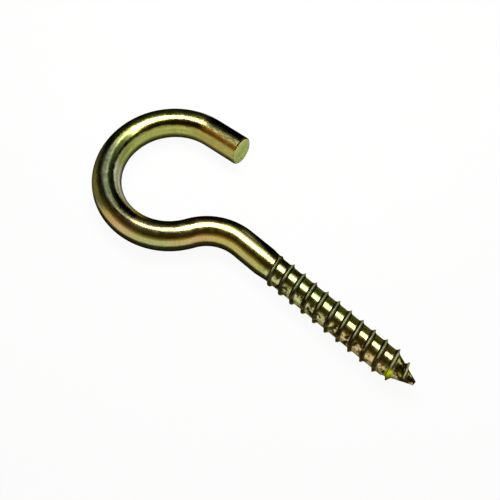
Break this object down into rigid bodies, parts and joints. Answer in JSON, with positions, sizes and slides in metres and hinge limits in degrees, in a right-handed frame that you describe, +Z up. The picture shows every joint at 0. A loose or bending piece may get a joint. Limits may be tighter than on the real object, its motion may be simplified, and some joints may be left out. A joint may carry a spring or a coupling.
{
  "type": "screw hook",
  "caption": "Open screw hook bent from round wire: C-shaped hook with a flat sheared end, S-bend, plain neck and a right-hand wood thread with a gimlet point. Yellow-passivated zinc.",
  "frame": {"origin": "on the screw's axis, at the end of the plain neck where the thread begins", "axes": "+X along the screw's axis towards its point, +Z up with the hook lying flat, the mouth of the hook on the +Y side"},
  "size_m": [0.0658, 0.0279, 0.0054],
  "materials": {
    "yellow_zinc_steel": "bright yellow-passivated zinc"
  },
  "bodies": {
    "root": {"screw_hook": "yellow_zinc_steel"}
  },
  "joints": []
}
